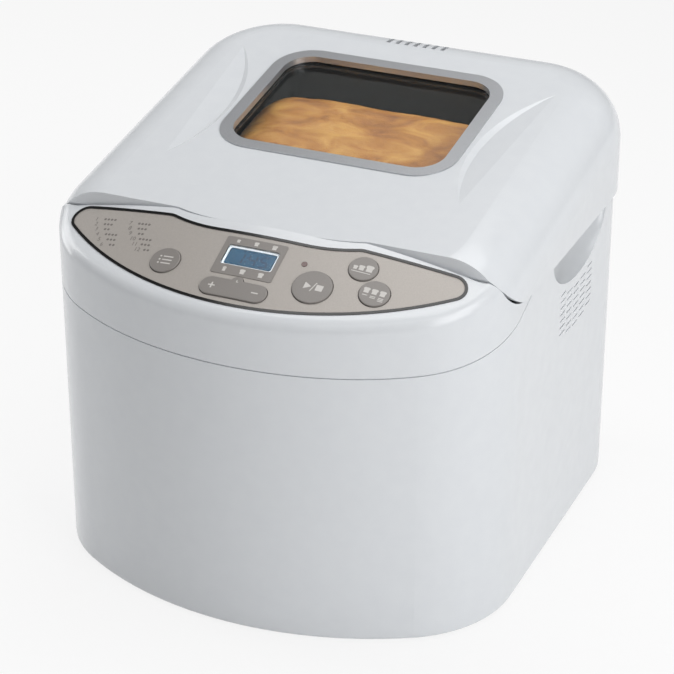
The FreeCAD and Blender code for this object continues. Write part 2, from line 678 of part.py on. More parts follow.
part("time_rocker", feature("Rocker", rocker_shape()))
pin_half = lug_middle + s.lug_width / 2
part("rocker_pin", feature("RockerPin", on_panel(Part.makeCylinder(
    s.pivot_radius, 2 * pin_half, Vector(0, s.rocker_v - pin_half, -s.pivot_depth), Vector(0, 1, 0)))))
lamp = Part.makeCylinder(s.lamp_radius, s.board_level, Vector(s.lamp_x, s.lamp_v, -s.board_level))
part("indicator_light", feature("Lamp", on_panel(lamp.common(drum(s.frame_proud)))))


def board_shape():
    width = Part.makePlane(2 * s.board_half_x, FAR, Vector(-s.board_half_x, -FAR / 2, 0))
    face = panel_face(s.board_inset).common(width).Faces[0]
    face.translate(Vector(0, 0, -s.board_level - s.board_thickness))
    return on_panel(face.extrude(Vector(0, 0, s.board_thickness)))


part("display_board", feature("DisplayBoard", board_shape()))


def switches_shape():
    places = [(x, v) for x, v, radius in KEYS.values()]
    places += [(side * stem_swing, s.rocker_v) for side in (-1, 1)]
    height = s.board_level - s.stem_level - s.key_travel - s.key_gap
    half = s.switch_side / 2
    return on_panel(Part.makeCompound([
        Part.makeBox(s.switch_side, s.switch_side, height, Vector(x - half, v - half, -s.board_level))
        for x, v in places]))


part("tact_switches", feature("Switches", switches_shape()))

# Lid with its window, liner and hinge

window_radius = s.window_corner - s.window_border / 2
opening_radius = s.window_corner - s.window_border
window_reach = s.liner_half_x / 4
liner_x = s.liner_half_x
liner_half_y = (s.liner_rear_y - s.liner_front_y) / 2
liner_centre = (s.liner_rear_y + s.liner_front_y) / 2
liner_bottom = s.parting_z + s.liner_lift
liner_drop = s.wall + s.glass_thickness + s.gasket_thickness
hinge_y = s.body_depth + s.hinge_offset
hinge_z = s.parting_z + s.hinge_rise


def liner_screw_places():
    x = s.liner_half_x + s.liner_flange / 2
    ends = (s.liner_front_y + s.liner_corner, s.liner_rear_y - s.liner_corner)
    return [(side * x, y) for side in (-1, 1) for y in ends]


def knuckle(x, bottom, top, arm_from):
    """One hinge eye along x, with the arm that ties it to the wall in front of it."""
    length = s.knuckle_length
    eye = Part.makeCylinder(s.hinge_barrel_radius, length, Vector(x, behind(hinge_y), hinge_z), Vector(1, 0, 0))
    arm = Part.makeBox(length, hinge_y - arm_from, top - bottom, Vector(x, behind(arm_from), bottom))
    return eye.fuse(arm)


def hinge_bore(radius):
    return Part.makeCylinder(radius, FAR, Vector(-FAR / 2, behind(hinge_y), hinge_z), Vector(1, 0, 0))


def side_step(drop):
    """What the lid loses beside its window: a flat that falls from a chord to a sloped riser on an arc."""
    height = 2 * s.crease_depth
    run = height / math.tan(math.radians(s.crease_slope))
    riser = Part.makeCone(s.crease_radius - run, s.crease_radius + run, 2 * height, Vector(0, 0, -height))
    fall = math.degrees(math.atan2(s.crease_depth, s.crease_radius - s.crease_chord))
    above = Part.makeBox(FAR, FAR, FAR, Vector(-FAR / 2, -FAR / 2, 0))
    above.rotate(Vector(0, 0, 0), Vector(0, 1, 0), -fall)
    above.translate(Vector(-s.crease_chord, 0, 0))
    step = riser.common(above)
    step.rotate(Vector(0, 0, 0), Vector(0, 0, 1), -s.crease_turn)
    step.translate(Vector(s.crease_x, 0, -drop))
    return on_lid(step.fuse(step.mirror(Vector(0, 0, 0), Vector(1, 0, 0))), s.crease_y)


def lid_shape():
    outer = lid_block(0, 0).cut(side_step(0))
    shell = outer.cut(lid_block(s.wall, s.wall).cut(side_step(s.wall)))
    skirt = behind_lid_edge(0).cut(behind_lid_edge(s.wall)).common(outer)
    shell = shell.fuse(skirt)
    for x, y in liner_screw_places():
        boss = upright(x, y, s.boss_radius, liner_bottom + s.liner_thickness, FAR)
        shell = shell.fuse(boss.common(lid_block(s.wall / 2, s.wall / 2)))
    shell = shell.common(lid_zone(0))
    for x, y in liner_screw_places():
        shell = shell.cut(upright(x, y, s.screw_radius, 0, liner_bottom + s.screw_length))
    shell = shell.cut(window_block(-s.window_border / 2, -window_reach, window_reach, window_radius))
    for slot in range(int(s.vent_slots)):
        x = (slot - (s.vent_slots - 1) / 2) * s.vent_pitch
        corner = Vector(x - s.vent_width / 2, behind(s.vent_y - s.vent_length / 2),
                        lid_height(s.vent_y) - s.lid_shoulder / 2)
        shell = shell.cut(Part.makeBox(s.vent_width, s.vent_length, FAR, corner))
    inner_wall = s.body_depth + s.lid_overhang - s.wall / 2
    for side in (-1, 1):
        start = side * s.hinge_x - s.knuckle_length / 2
        shell = shell.fuse(knuckle(start, hinge_z, hinge_z + s.hinge_barrel_radius, inner_wall))
    return shell.cut(hinge_bore(s.hinge_pin_radius + s.running_gap))


part("lid_shell", feature("Lid", lid_shape()))


def frame_shape():
    flange = window_block(0, 0, s.frame_rise, s.window_corner)
    neck = window_block(-s.window_border / 2, -s.wall, s.frame_rise, window_radius)
    opening = window_block(-s.window_border, -window_reach, window_reach, opening_radius)
    return flange.fuse(neck).cut(opening)


part("window_frame", feature("WindowFrame", frame_shape()))
part("window_glass", feature("WindowGlass", window_block(
    -s.window_border + s.glass_margin, -s.wall - s.glass_thickness, -s.wall, window_radius)))
gasket = window_block(-s.window_border + s.glass_margin, -liner_drop, -s.wall - s.glass_thickness,
                      window_radius)
part("window_gasket", feature("Gasket", gasket.cut(window_block(
    -s.window_border, -window_reach, 0, opening_radius))))


def liner_box(inset, bottom, drop):
    block = rounded_block(liner_x - inset, liner_half_y - inset, s.liner_corner - inset,
                          Vector(0, behind(liner_centre), bottom), FAR)
    return block.common(under_lid_plane(drop))


def liner_shape():
    flange = rounded_block(liner_x + s.liner_flange, liner_half_y + s.liner_flange,
                           s.liner_corner + s.liner_flange, Vector(0, behind(liner_centre), liner_bottom),
                           s.liner_thickness)
    flange = flange.common(slab(s.liner_front_y, FAR, 0, FAR))
    shell = flange.fuse(liner_box(0, liner_bottom, liner_drop))
    shell = shell.cut(liner_box(s.liner_thickness, 0, liner_drop + s.liner_thickness))
    shell = shell.cut(window_block(-s.window_border, -window_reach, 0, opening_radius))
    for x, y in liner_screw_places():
        shell = shell.cut(upright(x, y, s.screw_radius, 0, FAR))
    return shell


part("lid_liner", feature("Liner", liner_shape()))


def liner_screws_shape():
    screws = []
    for x, y in liner_screw_places():
        head = upright(x, y, s.screw_head_radius, liner_bottom - s.screw_head, liner_bottom)
        screws.append(head.fuse(upright(x, y, s.screw_radius, liner_bottom, liner_bottom + s.screw_length)))
    return Part.makeCompound(screws)


part("liner_screws", feature("LinerScrews", liner_screws_shape()))


def hinge_bracket_shape():
    eyes = []
    pitch = s.knuckle_length + s.knuckle_gap
    bottom = hinge_z - s.ledge_drop - s.hinge_barrel_radius
    for side in (-1, 1):
        for step in (-1, 1):
            start = side * s.hinge_x - s.knuckle_length / 2 + step * pitch
            eyes.append(knuckle(start, bottom, s.parting_z - s.lid_gap, s.body_depth))
    return Part.makeCompound([eye.cut(hinge_bore(s.hinge_pin_radius)) for eye in eyes])


part("hinge_eyes", feature("HingeEyes", hinge_bracket_shape()))
pins = []
for side in ("-", ""):
    pins.append(cylinder("HingePin", "hinge_pin_radius", "3 * knuckle_length + 2 * knuckle_gap",
                         f"{side}hinge_x - 1.5 * knuckle_length - knuckle_gap",
                         f"{FRONT} + body_depth + hinge_offset", "parting_z + hinge_rise", "x"))
part("hinge_pins", group("HingePins", pins))

# Oven chamber, the deck round its mouth and the frame that carries it

oven_centre = Vector(0, behind(s.oven_y), 0)


def deck_shape():
    deck = prism(s.wall + s.fit_gap, deck_bottom, deck_top).common(slab(s.deck_front_y, FAR, 0, FAR))
    mouth = rounded_block(s.oven_half_x, s.oven_half_y, s.oven_corner, oven_centre, FAR)
    deck = deck.cut(mouth)
    for side in (-1, 1):
        deck = deck.cut(finger_scoop(side, s.wall + s.fit_gap))
    return deck


part("top_deck", feature("Deck", deck_shape()))


def oven_shape():
    floor = Vector(0, oven_centre.y, oven_floor)
    height = deck_bottom - oven_floor
    outer = rounded_block(s.oven_half_x + s.sheet, s.oven_half_y + s.sheet, s.oven_corner + s.sheet,
                          floor, height)
    rim = Vector(0, oven_centre.y, deck_bottom - s.sheet)
    flange = rounded_block(s.oven_half_x + s.oven_flange, s.oven_half_y + s.oven_flange,
                           s.oven_corner + s.oven_flange, rim, s.sheet)
    inner = rounded_block(s.oven_half_x, s.oven_half_y, s.oven_corner, floor + Vector(0, 0, s.sheet), height)
    shell = outer.fuse(flange).cut(inner)
    shell = shell.cut(upright(0, s.oven_y, s.bearing_radius, oven_floor, oven_floor + s.sheet))
    for side in (-1, 1):
        shell = shell.cut(Part.makeCylinder(s.heater_radius + s.key_gap, s.heater_lead * 2, Vector(
            side * s.heater_lead_x, behind(s.oven_y + s.heater_half_y), s.heater_z), Vector(0, 1, 0)))
    probe = Part.makeCylinder(s.probe_radius, 2 * s.probe_length, Vector(
        0, behind(s.oven_y - s.oven_half_y - s.probe_length), s.probe_z), Vector(0, 1, 0))
    return shell.cut(probe)


part("oven_chamber", feature("Oven", oven_shape()))


def rounded_path(points, radius):
    """Straight runs joined by tangent arcs of one radius."""
    edges = []
    last = points[0]
    for before, corner, after in zip(points, points[1:], points[2:]):
        into = (before - corner).normalize()
        out = (after - corner).normalize()
        half = into.getAngle(out) / 2
        start = corner + into * (radius / math.tan(half))
        end = corner + out * (radius / math.tan(half))
        bisector = (into + out).normalize()
        middle = corner + bisector * (radius / math.sin(half) - radius)
        edges += [Part.makeLine(last, start), Part.Arc(start, middle, end).toShape()]
        last = end
    edges.append(Part.makeLine(last, points[-1]))
    return Part.Wire(edges)


def tube(points, bend, radius):
    path = rounded_path(points, bend)
    start = Part.makeCircle(radius, points[0], points[1] - points[0])
    return path.makePipeShell([Part.Wire(start)], True, False)


def heater_shape():
    y = s.oven_y
    rear = behind(y + s.heater_half_y)
    front = behind(y - s.heater_half_y)
    right = [Vector(s.heater_lead_x, end, s.heater_z) for end in (rear + s.heater_lead, rear)]
    loop = [Vector(s.heater_half_x, rear, s.heater_z), Vector(s.heater_half_x, front, s.heater_z)]
    left = [Vector(-p.x, p.y, p.z) for p in reversed(right + loop)]
    return tube(right + loop + left, s.heater_bend, s.heater_radius)


part("heater_element", feature("Heater", heater_shape()))
probe_y = f"{FRONT} + oven_y - oven_half_y - sheet"
probe_rod = cylinder("ProbeRod", "probe_radius", "probe_length", "0", f"{probe_y} - probe_length / 2",
                     "probe_z", "y")
probe_nut = cylinder("ProbeNut", "2 * probe_radius", "probe_length / 4", "0", f"{probe_y} - probe_length / 4",
                     "probe_z", "y")
part("temperature_probe", fuse("Probe", probe_rod, probe_nut))

seat_outer = cylinder("SeatOuter", "pan_foot_radius + foot_clearance + seat_wall", "seat_height", "0",
                      f"{FRONT} + oven_y", f"{OVEN_FLOOR} + sheet")
seat_bore = cylinder("SeatBore", "pan_foot_radius + foot_clearance", "seat_height", "0",
                     f"{FRONT} + oven_y", f"{OVEN_FLOOR} + sheet")
part("pan_seat", cut("Seat", seat_outer, seat_bore))


def chassis_shape():
    low = Vector(-s.chassis_half_x, behind(s.oven_y - s.chassis_half_y), s.chassis_z)
    frame = Part.makeBox(2 * s.chassis_half_x, 2 * s.chassis_half_y, s.chassis_thickness, low)
    x = s.chassis_half_x - s.leg_side
    for side in (-1, 1):
        for end in (-1, 1):
            corner = Vector(side * x - s.leg_side / 2, behind(s.oven_y + end * (s.chassis_half_y - s.leg_side))
                            - s.leg_side / 2, base_top)
            frame = frame.fuse(Part.makeBox(s.leg_side, s.leg_side, s.chassis_z - base_top, corner))
    return frame.cut(upright(0, s.oven_y, s.bearing_radius, 0, FAR))


part("chassis_frame", feature("Chassis", chassis_shape()))

# Bread pan, its handle and the paddle

pan_top = s.pan_z + s.pan_height


def tapered_box(shrink, bottom, top):
    def section(z):
        draw_in = s.pan_taper * (pan_top - z) / s.pan_height + shrink
        return rounded_rectangle(s.pan_half_x - draw_in, s.pan_half_y - draw_in, s.pan_corner - draw_in,
                                 Vector(0, oven_centre.y, z))
    return Part.makeLoft([section(bottom), section(top)], True, True)


def pan_shape():
    pan = tapered_box(0, s.pan_z, pan_top)
    rim = Vector(0, oven_centre.y, pan_top - s.pan_rim)
    pan = pan.fuse(rounded_block(s.pan_half_x + s.pan_rim, s.pan_half_y + s.pan_rim, s.pan_corner + s.pan_rim,
                                 rim, s.pan_rim))
    outside = s.pan_half_x - s.pan_taper * (pan_top - s.pivot_z) / s.pan_height
    for side in (-1, 1):
        inner = outside - s.pan_wall / 2
        ear = Part.makeBox(s.ear_thickness + s.pan_wall / 2, s.ear_width, s.ear_width, Vector(
            inner, oven_centre.y - s.ear_width / 2, s.pivot_z + s.ear_top - s.ear_width))
        hole = Part.makeCylinder(s.handle_wire + s.running_gap, s.ear_thickness, Vector(
            outside + s.handle_wire / 4, oven_centre.y, s.pivot_z), Vector(1, 0, 0))
        ear = ear.cut(hole)
        pan = pan.fuse(ear if side > 0 else ear.mirror(Vector(), Vector(1, 0, 0)))
    pan = pan.cut(tapered_box(s.pan_wall, s.pan_z + s.pan_floor, pan_top))
    return pan.cut(upright(0, s.oven_y, s.bush_radius, 0, s.pan_z + s.pan_floor))


part("bread_pan", feature("Pan", pan_shape()))

foot_outer = cylinder("PanFootOuter", "pan_foot_radius", "pan_foot_height", "0", f"{FRONT} + oven_y",
                      "pan_z - pan_foot_height")
foot_inner = cylinder("PanFootInner", "pan_foot_radius - pan_foot_wall", "pan_foot_height", "0",
                      f"{FRONT} + oven_y", "pan_z - pan_foot_height")
part("pan_foot", cut("PanFoot", foot_outer, foot_inner))
bush_neck = cylinder("BushNeck", "bush_radius", "pan_floor + bush_rise", "0", f"{FRONT} + oven_y", "pan_z")
bush_flange = cylinder("BushFlange", "bush_flange_radius", "bush_flange", "0", f"{FRONT} + oven_y",
                       "pan_z - bush_flange")
bush_bore = cylinder("BushBore", "shaft_radius + running_gap", "pan_floor + bush_rise + bush_flange", "0",
                     f"{FRONT} + oven_y", "pan_z - bush_flange")
part("pan_bush", cut("Bush", fuse("BushBody", bush_neck, bush_flange), bush_bore))


def handle_shape():
    lift = math.radians(s.handle_rest)
    arm = Vector(0, math.cos(lift), math.sin(lift)) * s.handle_arm
    outside = s.pan_half_x - s.pan_taper * (pan_top - s.pivot_z) / s.pan_height
    pivot = Vector(outside + s.handle_wire / 2, oven_centre.y, s.pivot_z)
    corner = Vector(s.handle_half_x, pivot.y, pivot.z)
    right = [pivot, corner, corner + arm]
    left = [Vector(-p.x, p.y, p.z) for p in reversed(right)]
    return tube(right + left, s.handle_bend, s.handle_wire)


part("pan_handle", feature("Handle", handle_shape()))

part("paddle_shaft", cylinder("PaddleShaft", "shaft_radius", "paddle_shaft_top - paddle_shaft_bottom", "0",
                              f"{FRONT} + oven_y", "paddle_shaft_bottom"))
dog_bar = box("DogBar", "dog_length", "dog_width", "dog_height", "-dog_length / 2",
              f"{FRONT} + oven_y - dog_width / 2", "paddle_shaft_bottom")
dog_hub = cylinder("DogHub", "dog_width", "dog_height", "0", f"{FRONT} + oven_y", "paddle_shaft_bottom")
dog_bore = cylinder("DogBore", "shaft_radius", "dog_height", "0", f"{FRONT} + oven_y", "paddle_shaft_bottom")
part("paddle_coupling", cut("Dog", fuse("DogBody", dog_bar, dog_hub), dog_bore))


def paddle_shape():
    bottom = s.pan_z + s.pan_floor + s.bush_rise + s.paddle_lift
    hub = upright(0, s.oven_y, s.paddle_hub_radius, bottom, bottom + s.paddle_height)
    blade = Part.makeBox(s.paddle_reach, s.paddle_blade, s.paddle_height, Vector(
        0, oven_centre.y - s.paddle_blade / 2, bottom))
    tips = [edge for edge in blade.Edges if edge.CenterOfMass.x > s.paddle_reach - 1 and
            abs(edge.tangentAt(edge.FirstParameter).y) > 0.5]
    blade = blade.makeFillet(s.paddle_height / 3, tips)
    return hub.fuse(blade).cut(upright(0, s.oven_y, s.shaft_radius, 0, s.paddle_shaft_top))


part("kneading_paddle", feature("Paddle", paddle_shape()))

# Drive under the oven: coupler, shaft and large pulley, belt, motor

coupler_z = f"({OVEN_FLOOR} + sheet + coupler_gap)"
coupler_base = oven_floor + s.sheet + s.coupler_gap


def coupler_shape():
    disc_top = coupler_base + s.coupler_disc
    coupler = upright(0, s.oven_y, s.coupler_radius, coupler_base, disc_top)
    lug_height = s.pan_z - s.bush_flange - disc_top - s.dog_height / 2
    half = s.coupler_lug / 2
    for side in (-1, 1):
        middle = oven_centre.y + side * (s.coupler_radius - half)
        lug = Part.makeBox(s.coupler_lug, s.coupler_lug, lug_height, Vector(-half, middle - half, disc_top))
        coupler = coupler.fuse(lug.common(upright(0, s.oven_y, s.coupler_radius, 0, FAR)))
    return coupler.cut(upright(0, s.oven_y, s.shaft_radius, 0, disc_top - s.coupler_disc / 3))


part("drive_coupler", feature("Coupler", coupler_shape()))
part("drive_shaft", cylinder("DriveShaft", "shaft_radius",
                             f"{coupler_z} + 2 * coupler_disc / 3 - shaft_bottom", "0", f"{FRONT} + oven_y",
                             "shaft_bottom"))
bearing_sleeve = cylinder("BearingSleeve", "bearing_radius", f"{OVEN_FLOOR} + sheet - bearing_bottom", "0",
                          f"{FRONT} + oven_y", "bearing_bottom")
bearing_flange = cylinder("BearingFlange", "bearing_flange_radius", "bearing_flange", "0", f"{FRONT} + oven_y",
                          "chassis_z - bearing_flange")
bearing_bore = cylinder("BearingBore", "shaft_radius + running_gap", f"{OVEN_FLOOR} + sheet", "0",
                        f"{FRONT} + oven_y", "0")
part("drive_bearing", cut("Bearing", fuse("BearingBody", bearing_sleeve, bearing_flange), bearing_bore))


def pulley_shape(y, radius):
    """A belt wheel with a thin flange at top and bottom; large ones are recessed to a web."""
    wheel = upright(0, y, radius, s.pulley_z, s.pulley_z + s.pulley_height)
    hub = 2 * s.shaft_radius
    if radius > 2 * hub:
        web_top = s.pulley_z + s.pulley_web
        hollow = upright(0, y, radius - s.pulley_web, web_top, s.pulley_z + s.pulley_height)
        wheel = wheel.cut(hollow.cut(upright(0, y, hub, web_top, s.pulley_z + s.pulley_height)))
    return wheel.cut(upright(0, y, s.shaft_radius, 0, FAR))


part("drive_pulley", feature("DrivePulley", pulley_shape(s.oven_y, s.drive_pulley_radius)))
part("motor_pulley", feature("MotorPulley", pulley_shape(s.motor_y, s.motor_pulley_radius)))


def belt_face(gap):
    big = s.drive_pulley_radius + gap
    small = s.motor_pulley_radius + gap
    rear = Vector(0, behind(s.oven_y), 0)
    front = Vector(0, behind(s.motor_y), 0)
    lean = math.asin((big - small) / (s.oven_y - s.motor_y))
    edges = [arc(rear, big, -lean, math.pi + lean), arc(front, small, math.pi + lean, 2 * math.pi - lean)]
    ends = [(edge.Vertexes[0].Point, edge.Vertexes[-1].Point) for edge in edges]
    lines = [Part.makeLine(ends[0][1], ends[1][0]), Part.makeLine(ends[1][1], ends[0][0])]
    return Part.Face(Part.Wire([edges[0], lines[0], edges[1], lines[1]]))


belt = belt_face(s.belt_gap + s.belt_thickness).cut(belt_face(s.belt_gap))
belt.translate(Vector(0, 0, s.pulley_z + (s.pulley_height - s.belt_width) / 2))
part("drive_belt", feature("Belt", belt.extrude(Vector(0, 0, s.belt_width))))

motor_z = "(motor_plate_z + motor_plate)"
motor_can = cylinder("MotorCan", "motor_radius", "motor_height", "0", f"{FRONT} + motor_y", motor_z)
motor_bore = cylinder("MotorBore", "shaft_radius + running_gap", "motor_height / 2", "0", f"{FRONT} + motor_y",
                      motor_z)
part("motor_body", cut("Motor", motor_can, motor_bore))
part("motor_shaft", cylinder("MotorShaft", "shaft_radius",
                             f"{motor_z} + motor_height / 3 - shaft_bottom", "0", f"{FRONT} + motor_y",
                             "shaft_bottom"))


def motor_mount_shape():
    centre = Vector(0, behind(s.motor_y), s.motor_plate_z)
    half_x, half_y = s.motor_plate_half_x, s.motor_plate_half_y
    plate = rounded_block(half_x, half_y, s.leg_side / 2, centre, s.motor_plate)
    for side in (-1, 1):
        for end in (-1, 1):
            leg = Vector(side * (half_x - s.leg_side / 2), centre.y + end * (half_y - s.leg_side / 2), base_top)
            plate = plate.fuse(Part.makeCylinder(s.leg_side / 2, s.motor_plate_z - base_top, leg))
    return plate.cut(upright(0, s.motor_y, 2 * s.shaft_radius, 0, FAR))


part("motor_mount", feature("MotorMount", motor_mount_shape()))
part("motor_capacitor", cylinder("Capacitor", "capacitor_radius", "capacitor_height", "capacitor_x",
                                 f"{FRONT} + capacitor_y", BASE_TOP))
part("power_board", box("PowerBoard", "board_thickness", "power_board_length", "power_board_height",
                        "power_board_x", f"{FRONT} + power_board_y", BASE_TOP))

doc.recompute()
os.makedirs("parts", exist_ok=True)
broken = [obj.Label for obj in doc.Objects if "Invalid" in obj.State or "Error" in obj.State]
for obj in parts:
    if obj.Shape.isNull() or not obj.Shape.isValid() or not obj.Shape.Solids:
        broken.append(obj.Label)
if broken:
    raise RuntimeError("not built: " + ", ".join(broken))
for obj in parts:
    obj.Shape.exportStep(f"parts/{obj.Label}.step")
    print(obj.Label, len(obj.Shape.Solids), round(obj.Shape.Volume))
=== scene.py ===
import json
import math

import bmesh
import bpy
from mathutils import Matrix, Vector, noise
from mathutils.bvhtree import BVHTree


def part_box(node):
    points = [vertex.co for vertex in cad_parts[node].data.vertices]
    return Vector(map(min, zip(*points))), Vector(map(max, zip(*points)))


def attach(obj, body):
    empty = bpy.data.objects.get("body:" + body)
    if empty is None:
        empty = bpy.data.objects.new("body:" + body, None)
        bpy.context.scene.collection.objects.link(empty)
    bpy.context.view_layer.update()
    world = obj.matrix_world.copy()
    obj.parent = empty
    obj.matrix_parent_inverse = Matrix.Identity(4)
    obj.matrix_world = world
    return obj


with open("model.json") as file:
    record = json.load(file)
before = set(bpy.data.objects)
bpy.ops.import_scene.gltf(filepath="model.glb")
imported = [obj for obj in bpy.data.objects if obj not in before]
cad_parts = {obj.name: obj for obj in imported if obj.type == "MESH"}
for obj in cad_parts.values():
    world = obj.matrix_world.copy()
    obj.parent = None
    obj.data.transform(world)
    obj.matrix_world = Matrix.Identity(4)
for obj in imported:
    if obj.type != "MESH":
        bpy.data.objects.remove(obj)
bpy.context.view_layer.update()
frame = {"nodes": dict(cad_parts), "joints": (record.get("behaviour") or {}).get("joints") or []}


# Casing: lower body, fascia round the panel and lid. All three are injection
# moulded in glossy white ABS from polished tools, so they mirror soft light,
# with a faint ripple where the resin shrank.

MM = 0.001
PLASTIC_IOR = 1.53
RIPPLE_HEIGHT = 0.2 * MM
SHEEN_SPREAD = 0.15
nodes = frame["nodes"]


def srgb(code):
    """A six-figure hex colour as linear red, green, blue and full opacity."""
    parts = [int(code[i:i + 2], 16) / 255 for i in (1, 3, 5)]
    linear = [p / 12.92 if p <= 0.04045 else ((p + 0.055) / 1.055) ** 2.4 for p in parts]
    return (*linear, 1.0)


def new_finish(name):
    """A new material with its node tree and its main shader, which is joined to the output."""
    material = bpy.data.materials.new(name)
    material.use_nodes = True
    tree = material.node_tree
    return material, tree, tree.nodes["Principled BSDF"]


def add(tree, kind, inputs=None, **settings):
    """One node with its settings; an input is a number, a colour or another node's socket."""
    node = tree.nodes.new(kind)
    for key, value in settings.items():
        setattr(node, key, value)
    for key, value in (inputs or {}).items():
        if isinstance(value, bpy.types.NodeSocket):
            tree.links.new(value, node.inputs[key])
        else:
            node.inputs[key].default_value = value
    return node


def speckle(tree, size_mm, detail=2.0):
    """Noise whose grains are about this size, on the piece's own coordinates."""
    coords = add(tree, "ShaderNodeTexCoord")
    return add(tree, "ShaderNodeTexNoise", {"Vector": coords.outputs["Object"],
                                            "Scale": 1 / (size_mm * MM), "Detail": detail})


def moulded(name, pale, deep, roughness, ripple_mm, ripple_depth):
    """A moulded plastic, paint or ink: two close tones and a fine ripple in the gloss."""
    material, tree, shader = new_finish(name)
    grain = speckle(tree, ripple_mm)
    tone = add(tree, "ShaderNodeValToRGB", {"Fac": grain.outputs["Fac"]})
    tone.color_ramp.elements[0].color = srgb(deep)
    tone.color_ramp.elements[1].color = srgb(pale)
    bump = add(tree, "ShaderNodeBump", {"Height": grain.outputs["Fac"], "Strength": ripple_depth,
                                        "Distance": RIPPLE_HEIGHT})
    sheen = add(tree, "ShaderNodeMapRange", {"Value": grain.outputs["Fac"],
                                             "To Min": roughness * (1 - SHEEN_SPREAD),
                                             "To Max": roughness * (1 + SHEEN_SPREAD)})
    tree.links.new(tone.outputs["Color"], shader.inputs["Base Color"])
    tree.links.new(bump.outputs["Normal"], shader.inputs["Normal"])
    tree.links.new(sheen.outputs["Result"], shader.inputs["Roughness"])
    shader.inputs["IOR"].default_value = PLASTIC_IOR
    return material


def dress(material, *names):
    """Give these CAD nodes one finish all over."""
    for name in names:
        for slot in nodes[name].material_slots:
            slot.material = material


gloss_abs = moulded("moulded_gloss_abs", pale="#E4E7EA", deep="#DFE2E6", roughness=0.22,
                    ripple_mm=9.0, ripple_depth=0.02)
dress(gloss_abs, "body_shell", "top_fascia", "lid_shell")


# Base plate, top deck and hinge knuckles: the same resin from a spark-eroded
# tool, which leaves a fine matt grain. The feet, belt and window gasket are
# dull black rubber; the gland, switches and pulleys are satin black nylon.

grained_abs = moulded("grained_abs", pale="#DADDE0", deep="#CDD0D4", roughness=0.5,
                      ripple_mm=0.8, ripple_depth=0.25)
dress(grained_abs, "base_plate", "top_deck", "hinge_eyes")
black_rubber = moulded("moulded_rubber", pale="#1E1E1F", deep="#141415", roughness=0.8,
                       ripple_mm=0.6, ripple_depth=0.3)
dress(black_rubber, "rubber_feet", "drive_belt", "window_gasket")
black_nylon = moulded("moulded_black_nylon", pale="#202021", deep="#17171A", roughness=0.45,
                      ripple_mm=0.7, ripple_depth=0.2)
dress(black_nylon, "cord_gland", "tact_switches", "drive_pulley", "motor_pulley", "motor_capacitor")


# Panel: a thin aluminium label sprayed in satin silver-beige, inside a gloss
# black bead that runs round the fascia's opening.

FLAKE_DETAIL = 3.0
FLAKE_DEEP_AT, FLAKE_PALE_AT = 0.3, 0.7
FLAKE_SPREAD = 0.2


def flaked(name, pale, deep, flake_mm, roughness, metallic):
    """A metallic paint or a satin metal: fine flakes that shift tone and gloss."""
    material, tree, shader = new_finish(name)
    flakes = speckle(tree, flake_mm, FLAKE_DETAIL)
    tone = add(tree, "ShaderNodeValToRGB", {"Fac": flakes.outputs["Fac"]})
    tone.color_ramp.elements[0].position = FLAKE_DEEP_AT
    tone.color_ramp.elements[1].position = FLAKE_PALE_AT
    tone.color_ramp.elements[0].color = srgb(deep)
    tone.color_ramp.elements[1].color = srgb(pale)
    gloss = add(tree, "ShaderNodeMapRange", {"Value": flakes.outputs["Fac"],
                                             "To Min": roughness * (1 - FLAKE_SPREAD),
                                             "To Max": roughness * (1 + FLAKE_SPREAD)})
    tree.links.new(tone.outputs["Color"], shader.inputs["Base Color"])
    tree.links.new(gloss.outputs["Result"], shader.inputs["Roughness"])
    shader.inputs["Metallic"].default_value = metallic
    return material


# The flakes are drawn coarser than real ones, about half a millimetre, so that they show.
panel_paint = flaked("satin_silver_paint", pale="#B9B3AD", deep="#ABA59F", flake_mm=0.5,
                     roughness=0.42, metallic=0.15)
dress(panel_paint, "panel_plate")
bead_paint = moulded("gloss_black_paint", pale="#0B0B0C", deep="#070708", roughness=0.18,
                     ripple_mm=4.0, ripple_depth=0.05)
dress(bead_paint, "panel_trim")


# Keys and display surround: satin warm-grey ABS caps that stand just proud
# of the panel in narrow gaps; the small round lens beside them is dull red.

key_abs = moulded("satin_grey_abs", pale="#8F8A86", deep="#86817D", roughness=0.38,
                  ripple_mm=0.7, ripple_depth=0.12)
dress(key_abs, "menu_button", "start_button", "loaf_size_button", "crust_button", "time_rocker",
      "display_frame")
lamp_acrylic = moulded("tinted_acrylic", pale="#6B4F4C", deep="#5A403D", roughness=0.15,
                       ripple_mm=1.0, ripple_depth=0.05)
dress(lamp_acrylic, "indicator_light")


# Screen: a back-lit blue liquid-crystal cell under a clear acrylic lens. The
# digits are dark segments of the cell, drawn as seven bars on its face.

GLOW_PATCH_MM = 6.0
cell_film, tree, shader = new_finish("backlit_cell_film")
glow = speckle(tree, GLOW_PATCH_MM)
tint = add(tree, "ShaderNodeValToRGB", {"Fac": glow.outputs["Fac"]})
tint.color_ramp.elements[0].color = srgb("#12354A")
tint.color_ramp.elements[1].color = srgb("#1A435B")
tree.links.new(tint.outputs["Color"], shader.inputs["Base Color"])
tree.links.new(tint.outputs["Color"], shader.inputs["Emission Color"])
shader.inputs["Emission Strength"].default_value = 0.1
shader.inputs["Roughness"].default_value = 0.35
dress(cell_film, "lcd_module")


